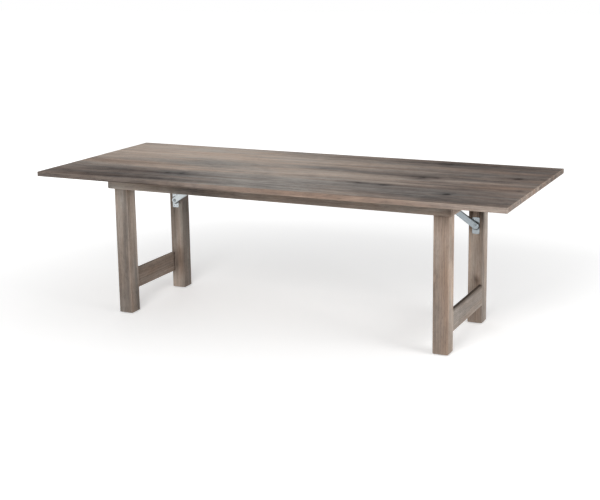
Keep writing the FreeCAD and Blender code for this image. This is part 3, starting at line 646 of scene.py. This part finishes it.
def turned(points, axis, lines, crown, turn):
    """Surface of a turned solid: its rings as bands, a crowned disc on its head, a flat one on its tip."""
    middle, rings = turned_rings(points, axis)
    outward = np.sign(rings[0][0] - rings[-1][0])
    if rings[1][1] >= rings[0][1]:
        head, radius = rings[0]
        rings[:1] = [(head, radius - HEAD_EASE), (head - outward * HEAD_EASE, radius)]
    x, y, u, v = disc_grid(lines)
    relief = crown(x, y, u, v)
    x, y = x * math.cos(turn) - y * math.sin(turn), x * math.sin(turn) + y * math.cos(turn)
    count, border = len(x), rim(len(lines))
    a, b = other_axes(axis)

    def at(place, radius, some, rise=0):
        """Points of the turned grid at a place along the axis."""
        ring = np.empty((len(some), 3))
        ring[:, axis] = place + outward * rise
        ring[:, a], ring[:, b] = middle[a] + radius * x[some], middle[b] + radius * y[some]
        return ring

    every = np.arange(count)
    parts = [at(*rings[0], every, relief), at(*rings[-1], every)]
    cap = grid_quads(len(lines), len(lines))
    quads = [cap, cap[:, ::-1] + count]
    last = border
    start = 2 * count
    for ring in rings[1:-1]:
        parts.append(at(*ring, border))
        quads.append(band(last, start + np.arange(len(border))))
        last = start + np.arange(len(border))
        start += len(border)
    quads.append(band(last, count + border))
    quads = np.concatenate(quads)
    return np.concatenate(parts), quads if outward > 0 else quads[:, ::-1]


def worn_block(node, axis, edge, pitch, seed, material, stains_and_light=(), knots=(), wear_box=None, bores=(),
               shape=None):
    """Sawn and planed piece of wood: a rounded box with gentle sway, its grain along one axis."""
    low, high = node_box(node)
    lines = [grid_lines(low[k], high[k], edge, pitch) for k in (X, Y, Z)]
    for k in (X, Y):
        if bores:
            lines[k] = bore_lines(lines[k], [b[0][k] for b in bores], bores[0][1] + BORE_COLLAR)
    points, quads = box_surface(lines)
    for middle, radius, floor in bores:
        points, quads = bored(points, quads, middle, radius + BORE_COLLAR, radius, low[Z], floor)
    wear = edge_wear(points, *(wear_box or (low, high)))
    points, normal = rounded(points, low, high, edge)
    points = points + normal * sway(points, seed)[:, None]
    place = log_place(points, axis, seed)
    place[:, 1] = around_knots(place[:, 1], points, knots)
    tone, warmth = stain_and_light_tone(points, axis, stains_and_light, knots)
    if shape:
        points = shape(points, low, high)
    piece = make_piece(node, points, quads, material)
    store(piece, "grain", place)
    # The tone holds the stains together with the painted shade and sheen
    store(piece, "finish", np.stack([tone, warmth, wear], axis=1))


def leg_top(side):
    """Shape of a leg's upper end: an arc about the fold's pivot on the inside, a rounded outer corner."""
    pivot = PIVOTS[f"{side}_leg_fold"]
    outward = math.copysign(1, pivot[X])

    def shape(points, low, high):
        """Points near the top, let down by the drop of the arc and of the corner."""
        top = high[Z]
        swing = top - pivot[Z]
        x = points[:, X] * outward
        outer = max(low[X] * outward, high[X] * outward)
        in_arc = np.clip(abs(pivot[X]) - x, 0, swing)
        in_round = np.clip(x - outer + LEG_TOP_ROUND, 0, LEG_TOP_ROUND)
        drop = swing - np.sqrt(swing ** 2 - in_arc ** 2)
        drop += LEG_TOP_ROUND - np.sqrt(LEG_TOP_ROUND ** 2 - in_round ** 2)
        share = np.clip((points[:, Z] - top + LEG_TOP_WARP) / LEG_TOP_WARP, 0, 1)
        shaped = points.copy()
        shaped[:, Z] -= share * drop
        return shaped

    return shape


# Shader nodes

def feed(tree, socket, value):
    """Links another node's output to an input, or sets a value on it."""
    if isinstance(value, bpy.types.NodeSocket):
        tree.links.new(value, socket)
    else:
        socket.default_value = value


def add(tree, kind, settings=None, **inputs):
    """New node with its settings and inputs, each given by name or, as i0, i1 and so on, by place."""
    made = tree.nodes.new(kind)
    for name, value in (settings or {}).items():
        setattr(made, name, value)
    for name, value in inputs.items():
        by_place = name[0] == "i" and name[1:].isdigit()
        key = int(name[1:]) if by_place else name.replace("_", " ")
        feed(tree, made.inputs[key], value)
    return made


def reckon(tree, operation, *values):
    """Result of one arithmetic step on one to three values."""
    made = add(tree, "ShaderNodeMath", {"operation": operation})
    for socket, value in zip(made.inputs, values):
        feed(tree, socket, value)
    return made.outputs[0]


def weigh(tree, value, share, total):
    """total + share * (value - 0.5), for a value that swings about one half."""
    return reckon(tree, "MULTIPLY_ADD", reckon(tree, "SUBTRACT", value, MIDDLE), share, total)


def object_place(tree):
    """Place on a piece in the table's own frame."""
    return add(tree, "ShaderNodeTexCoord").outputs["Object"]


def scaled(tree, vector, scale):
    """Coordinates stretched by a scale along each axis."""
    return add(tree, "ShaderNodeVectorMath", {"operation": "MULTIPLY"}, i0=vector, i1=scale).outputs[0]


def noise(tree, vector, scale, detail, rough, distortion=0.0):
    """Cloudy noise at a scale along each axis."""
    return add(tree, "ShaderNodeTexNoise", Vector=scaled(tree, vector, scale), Scale=1.0, Detail=detail,
               Roughness=rough, Distortion=distortion).outputs[0]


def eased(tree, value, span, levels):
    """Smooth step from the first level to the second while a value crosses a span."""
    return add(tree, "ShaderNodeMapRange", {"interpolation_type": "SMOOTHSTEP"}, Value=value,
               From_Min=span[0], From_Max=span[1], To_Min=levels[0], To_Max=levels[1]).outputs[0]


def ramp(tree, value, places, colours):
    """Colour ramp through colours at their places."""
    made = add(tree, "ShaderNodeValToRGB", Fac=value)
    elements = made.color_ramp.elements
    while len(elements) < len(places):
        elements.new(MIDDLE)
    for element, place, colour in zip(elements, places, colours):
        element.position = place
        element.color = (*colour, 1.0)
    return made.outputs[0]


def mixed(tree, share, first, second):
    """First colour turned to the second by a share."""
    return add(tree, "ShaderNodeMix", {"data_type": "RGBA"}, i0=share, i6=first, i7=second).outputs[2]


def bumped(tree, height, strength, distance):
    """Normals of a surface that is raised by a height."""
    return add(tree, "ShaderNodeBump", Strength=strength, Distance=distance, Height=height).outputs[0]


def srgb(red, green, blue):
    """Linear colour of an sRGB colour given in 0 to 255: a straight toe, then a power of 2.4."""
    share = np.array((red, green, blue)) / 255
    return tuple(np.where(share <= 0.04045, share / 12.92, ((share + 0.055) / 1.055) ** 2.4))


def dimmed(colour, share):
    """Colour brought down to a share of its light."""
    return tuple(c * share for c in colour)


# Materials

def new_material(name):
    """Empty material with its tree and its shader."""
    material = bpy.data.materials.new(name)
    material.use_nodes = True
    return material, material.node_tree, material.node_tree.nodes["Principled BSDF"]


def plug(tree, shader, **inputs):
    """Links or sets a shader's inputs."""
    for name, value in inputs.items():
        feed(tree, shader.inputs[name.replace("_", " ")], value)


def growth_rings(tree, grain):
    """Rings about the pith with one sharp side, drawn out along the grain."""
    place = scaled(tree, grain, RING_STRETCH)
    return add(tree, "ShaderNodeTexWave", RING_KIND, Vector=place, **RING_WAVE).outputs[1]


def pores(tree, grain):
    """1 in short fine pores along the grain, 0 between them."""
    low, high = PORE_RANGE
    return add(tree, "ShaderNodeMapRange", Value=noise(tree, grain, *PORE_NOISE), From_Min=low,
               From_Max=high).outputs[0]


def wood_ramp(tree, value, colours):
    """Colour of wood at a tone, from sRGB colours."""
    return ramp(tree, value, WOOD_PLACES, [srgb(*colour) for colour in colours])


def weathered_wood(name, cool, warm, rough, shares):
    """Grey-washed wood: bands, rings and fibres that follow the place in the log, and paler worn edges."""
    material, tree, shader = new_material(name)
    grain = add(tree, "ShaderNodeAttribute", {"attribute_name": "grain"}).outputs["Vector"]
    finish = add(tree, "ShaderNodeAttribute", {"attribute_name": "finish"}).outputs["Vector"]
    tone, warmth, wear = add(tree, "ShaderNodeSeparateXYZ", i0=finish).outputs
    figure = {part: noise(tree, grain, *look) for part, look in WOOD_FIGURE.items()}
    figure["ring"] = growth_rings(tree, grain)
    figure["pore"] = pores(tree, grain)
    value = reckon(tree, "MULTIPLY_ADD", tone, TONE_STEP, MIDDLE)
    for part, share in shares.items():
        value = weigh(tree, figure[part], share, value)
    heat = reckon(tree, "MULTIPLY_ADD", warmth, WARMTH_STEP, PLAIN_WARMTH)
    heat = weigh(tree, noise(tree, grain, *HUE_NOISE), HUE_SHARE, heat)
    heat = add(tree, "ShaderNodeClamp", i0=heat).outputs[0]
    colour = mixed(tree, heat, wood_ramp(tree, value, cool), wood_ramp(tree, value, warm))
    worn = reckon(tree, "MULTIPLY", reckon(tree, "MULTIPLY", wear, figure["band"]), WORN_SHARE)
    colour = mixed(tree, worn, colour, (*srgb(*WORN_COLOUR), 1))
    height = figure["fibre"]
    for part, share in RELIEF_SHARES.items():
        height = weigh(tree, figure[part], share, height)
    gloss = weigh(tree, figure["band"], BAND_GLOSS, rough)
    plug(tree, shader, Base_Color=colour, Roughness=gloss, Specular_IOR_Level=WOOD_SPECULAR,
         Normal=bumped(tree, height, *WOOD_BUMP))
    return material


def pivot_painted_shade(tree, place, reach):
    """Painted shade on a leg plate round its strut's rivet: full up to the strut's rim, gone a little past
    it.
    """
    x, _, z = add(tree, "ShaderNodeSeparateXYZ", i0=place).outputs
    flat = add(tree, "ShaderNodeCombineXYZ", i0=reckon(tree, "ABSOLUTE", x), i2=z).outputs[0]
    pivot = (STRUT_PIVOT[X], 0, STRUT_PIVOT[Z])
    away = add(tree, "ShaderNodeVectorMath", {"operation": "DISTANCE"}, i0=flat, i1=pivot).outputs["Value"]
    return eased(tree, away, reach, (PIVOT_SHADE_DEPTH, 0.0))


def plated(name, colour, rough, cell, pivot_shade=None):
    """Plated metal: faint crystal cells, clouds of dullness and fine rub marks, with painted shade round a
    strut's rivet when a reach for it is given.
    """
    material, tree, shader = new_material(name)
    place = object_place(tree)
    crystal = add(tree, "ShaderNodeTexVoronoi", Vector=place, Scale=1 / cell).outputs["Color"]
    shade = add(tree, "ShaderNodeSeparateXYZ", i0=crystal).outputs[0]
    value = weigh(tree, shade, CRYSTAL_SHARE, noise(tree, place, *METAL_CLOUD))
    value = weigh(tree, noise(tree, place, *METAL_RUB), RUB_SHARE, value)
    tint = ramp(tree, value, METAL_RANGE, (dimmed(colour, METAL_DARK), colour))
    if pivot_shade:
        tint = mixed(tree, pivot_painted_shade(tree, place, pivot_shade), tint, (*PIVOT_SHADE_COLOUR, 1))
    plug(tree, shader, Base_Color=tint, Metallic=1.0, Roughness=weigh(tree, value, METAL_GLOSS, rough),
         Normal=bumped(tree, value, *METAL_BUMP))
    return material


def moulded(name, colour, rough):
    """Moulded plastic: fine pebble and a slight cloud of tone."""
    material, tree, shader = new_material(name)
    place = object_place(tree)
    cloud = noise(tree, place, *PLASTIC_CLOUD)
    pebble = noise(tree, place, *PLASTIC_PEBBLE)
    tint = ramp(tree, cloud, SOFT_RANGE, (dimmed(colour, PLASTIC_DARK), colour))
    plug(tree, shader, Base_Color=tint, Roughness=weigh(tree, pebble, PLASTIC_GLOSS, rough),
         Normal=bumped(tree, pebble, *PLASTIC_BUMP))
    return material


def plain_beech(name):
    """Plain beech: fine streaks and flecks on the object's own coordinates."""
    material, tree, shader = new_material(name)
    place = object_place(tree)
    streak = noise(tree, place, *BEECH_STREAK)
    fleck = noise(tree, place, *BEECH_FLECK)
    value = weigh(tree, fleck, FLECK_SHARE, streak)
    tint = ramp(tree, value, SOFT_RANGE, (srgb(*BEECH_DARK), srgb(*BEECH_LIGHT)))
    plug(tree, shader, Base_Color=tint, Roughness=weigh(tree, streak, BEECH_GLOSS, BEECH_ROUGH),
         Normal=bumped(tree, fleck, *BEECH_BUMP))
    return material


# Finishes of the worn wood, of each material slot, and of the nodes that have their own

board_wood = weathered_wood("weathered_boards", BOARD_COOL, BOARD_WARM, BOARD_ROUGH, BOARD_SHARES)
frame_wood = weathered_wood("weathered_frame", FRAME_COOL, FRAME_WARM, FRAME_ROUGH, FRAME_SHARES)
SLOT_FINISHES = {
    "zinc_plate": plated("zinc_plate", BRIGHT_ZINC, rough=0.36, cell=0.003),
    "zinc_fasteners": plated("zinc_fasteners", FASTENER_ZINC, rough=0.34, cell=0.002),
    "spring_steel": plated("spring_steel", SPRING_STEEL, rough=0.28, cell=0.005),
    "insert_brass": plated("insert_brass", BRASS, rough=0.32, cell=0.004),
    "bush_nylon": moulded("bush_nylon", NYLON, rough=0.45),
    "glide_plastic": moulded("glide_plastic", BLACK_PLASTIC, rough=0.50),
    "dowel_wood": plain_beech("dowel_wood"),
}
# Darker zinc for the right brace as painted shade; both leg plates with painted shade round their rivets
shaded_zinc = plated("zinc_shaded", SHADED_ZINC, rough=0.42, cell=0.003)
OWN_FINISHES = {
    "left_leg_plate": plated("zinc_plate_pivot_shade", BRIGHT_ZINC, rough=0.36, cell=0.003, pivot_shade=LEFT_PIVOT_SHADE),
    "right_leg_plate": plated("zinc_shaded_pivot_shade", SHADED_PLATE_ZINC, rough=0.42, cell=0.003, pivot_shade=RIGHT_PIVOT_SHADE),
    "right_strut": shaded_zinc,
    "left_strut_rivet": plated("rivet_steel", RIVET_STEEL, rough=0.42, cell=0.003),
    "right_strut_rivet": shaded_zinc,
}


def finish_of(node):
    """Finish of a node that isn't worn wood."""
    return OWN_FINISHES.get(node) or SLOT_FINISHES[SLOT_OF[node]]


def finish_nodes():
    """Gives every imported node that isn't worn wood its finish."""
    for node, slot in SLOT_OF.items():
        if slot in SLOT_FINISHES:
            slots = frame["nodes"][node].data.materials
            slots.clear()
            slots.append(finish_of(node))


# Table

def lay_boards():
    """Boards of the top, with the patches of tone, painted sheen and shade among them, and the knots that run
    across them.
    """
    top = (node_box(BOARDS[0])[0], node_box(BOARDS[-1])[1])
    for seed, node in enumerate(BOARDS, BOARD_SEED):
        worn_block(node, X, BOARD_EDGE, BOARD_PITCH, seed, board_wood, STAINS_AND_PAINTED_LIGHT["top"], KNOTS, wear_box=top)


def screw_bores(node):
    """Bores under a rail for its sunk screws: middle, radius and floor of each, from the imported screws."""
    low, high = node_box(node)
    bores = []
    for points in solids("rail_screws"):
        middle, rings = turned_rings(points, Z)
        if (low[:2] < middle[:2]).all() and (middle[:2] < high[:2]).all():
            bores.append((middle[:2], rings[0][1] + BORE_PLAY, rings[1][0]))
    return bores


def build_frame():
    """Rails under the top, legs and stretchers."""
    for seed, (node, axis) in enumerate(RAILS.items(), RAIL_SEED):
        worn_block(node, axis, FRAME_EDGE, FRAME_PITCH, seed, frame_wood, STAINS_AND_PAINTED_LIGHT.get(node, ()),
                   bores=screw_bores(node))
    for seed, corner in enumerate(CORNERS, LEG_SEED):
        node = f"{corner}_leg"
        worn_block(node, Z, FRAME_EDGE, FRAME_PITCH, seed, frame_wood, STAINS_AND_PAINTED_LIGHT[node],
                   shape=leg_top(corner.split("_")[0]))
    for seed, side in enumerate(SIDES, STRETCHER_SEED):
        node = f"{side}_stretcher"
        worn_block(node, Y, FRAME_EDGE, FRAME_PITCH, seed, frame_wood, STAINS_AND_PAINTED_LIGHT[node])


def drive_fasteners():
    """Screws with a cross recess and rivets with a dimpled crown, each head turned its own way."""
    draw = np.random.default_rng(HEAD_SEED)
    for nodes, lines, crown in ((SCREWS, CROSS_LINES, cross_recess), (RIVETS, CROWN_LINES, rivet_crown)):
        for node, axis in nodes.items():
            turns = [(solid, draw.uniform(0, math.pi / 2)) for solid in solids(node)]
            heads = [turned(solid, axis, lines, crown, turn) for solid, turn in turns]
            piece = make_piece(node, *joined(heads), finish_of(node))
            piece.data.set_sharp_from_angle(angle=SHARP_ANGLE)


# Stage

def ray_switch(tree):
    """1 for rays from the eye, from gloss and through glass, 0 for the rest."""
    path = add(tree, "ShaderNodeLightPath").outputs
    total = path["Is Camera Ray"]
    for name in ("Is Glossy Ray", "Is Transmission Ray"):
        total = reckon(tree, "MAXIMUM", total, path[name])
    return total


def light_world():
    """Even soft light, seen as white behind the table and in its gloss."""
    world = bpy.data.worlds.new("studio")
    bpy.context.scene.world = world
    world.use_nodes = True
    tree = world.node_tree
    level = add(tree, "ShaderNodeMapRange", Value=ray_switch(tree), To_Min=WORLD_LIGHT,
                To_Max=WORLD_WHITE).outputs[0]
    plug(tree, tree.nodes["Background"], Color=(1, 1, 1, 1), Strength=level)


def floor_material():
    """Matt pale floor with a glow for the eye that grows away from the table."""
    material = bpy.data.materials.new("floor")
    material.use_nodes = True
    tree = material.node_tree
    tree.nodes.clear()
    matt = add(tree, "ShaderNodeBsdfDiffuse", Color=FLOOR_COLOUR).outputs[0]
    place = object_place(tree)
    away = add(tree, "ShaderNodeVectorMath", {"operation": "LENGTH"}, i0=place).outputs["Value"]
    lift = reckon(tree, "MULTIPLY", ray_switch(tree), eased(tree, away, GLOW_REACH, GLOW_LEVELS))
    glow = add(tree, "ShaderNodeEmission", Strength=lift).outputs[0]
    both = add(tree, "ShaderNodeAddShader", i0=matt, i1=glow).outputs[0]
    add(tree, "ShaderNodeOutputMaterial", Surface=both)
    return material


def lay_floor():
    """Plain pale floor that keeps the table's soft shadow."""
    corners = FLOOR_HALF * np.array([(-1, -1, 0), (1, -1, 0), (1, 1, 0), (-1, 1, 0)])
    mesh = bpy.data.meshes.new("floor")
    mesh.from_pydata(corners, [], [(0, 1, 2, 3)])
    mesh.materials.append(floor_material())
    floor = bpy.data.objects.new("floor", mesh)
    bpy.context.collection.objects.link(floor)


def soft_lamp(name, place, target, size, power):
    """Soft lamp with a rectangular face that points at a target."""
    light = bpy.data.lights.new(name, "AREA")
    light.shape = "RECTANGLE"
    light.size, light.size_y = size
    light.energy = power
    lamp = bpy.data.objects.new(name, light)
    lamp.location = place
    lamp.rotation_euler = (Vector(target) - Vector(place)).to_track_quat("-Z", "Y").to_euler()
    lamp.visible_camera = False
    bpy.context.collection.objects.link(lamp)


def place_camera():
    """Camera at the photograph's place, turned by its yaw, pitch and roll."""
    yaw, pitch, roll = CAMERA_YAW, CAMERA_PITCH, CAMERA_ROLL
    ahead = np.array((-math.sin(yaw) * math.cos(pitch), math.cos(yaw) * math.cos(pitch), -math.sin(pitch)))
    level = np.array((math.cos(yaw), math.sin(yaw), 0))
    above = np.cross(level, ahead)
    right = math.cos(roll) * level + math.sin(roll) * above
    up = math.cos(roll) * above - math.sin(roll) * level
    view = bpy.data.cameras.new("camera")
    view.lens, view.sensor_width, view.shift_y = CAMERA_LENS, CAMERA_SENSOR, CAMERA_SHIFT_Y
    camera = bpy.data.objects.new("camera", view)
    camera.location = CAMERA_PLACE
    camera.rotation_euler = Matrix((right, up, -ahead)).transposed().to_euler()
    bpy.context.collection.objects.link(camera)
    bpy.context.scene.camera = camera


finish_nodes()
lay_boards()
build_frame()
drive_fasteners()
light_world()
lay_floor()
for lamp_name, lamp_setting in LAMPS.items():
    soft_lamp(lamp_name, **lamp_setting)
place_camera()
bpy.context.scene.view_settings.view_transform = "Standard"
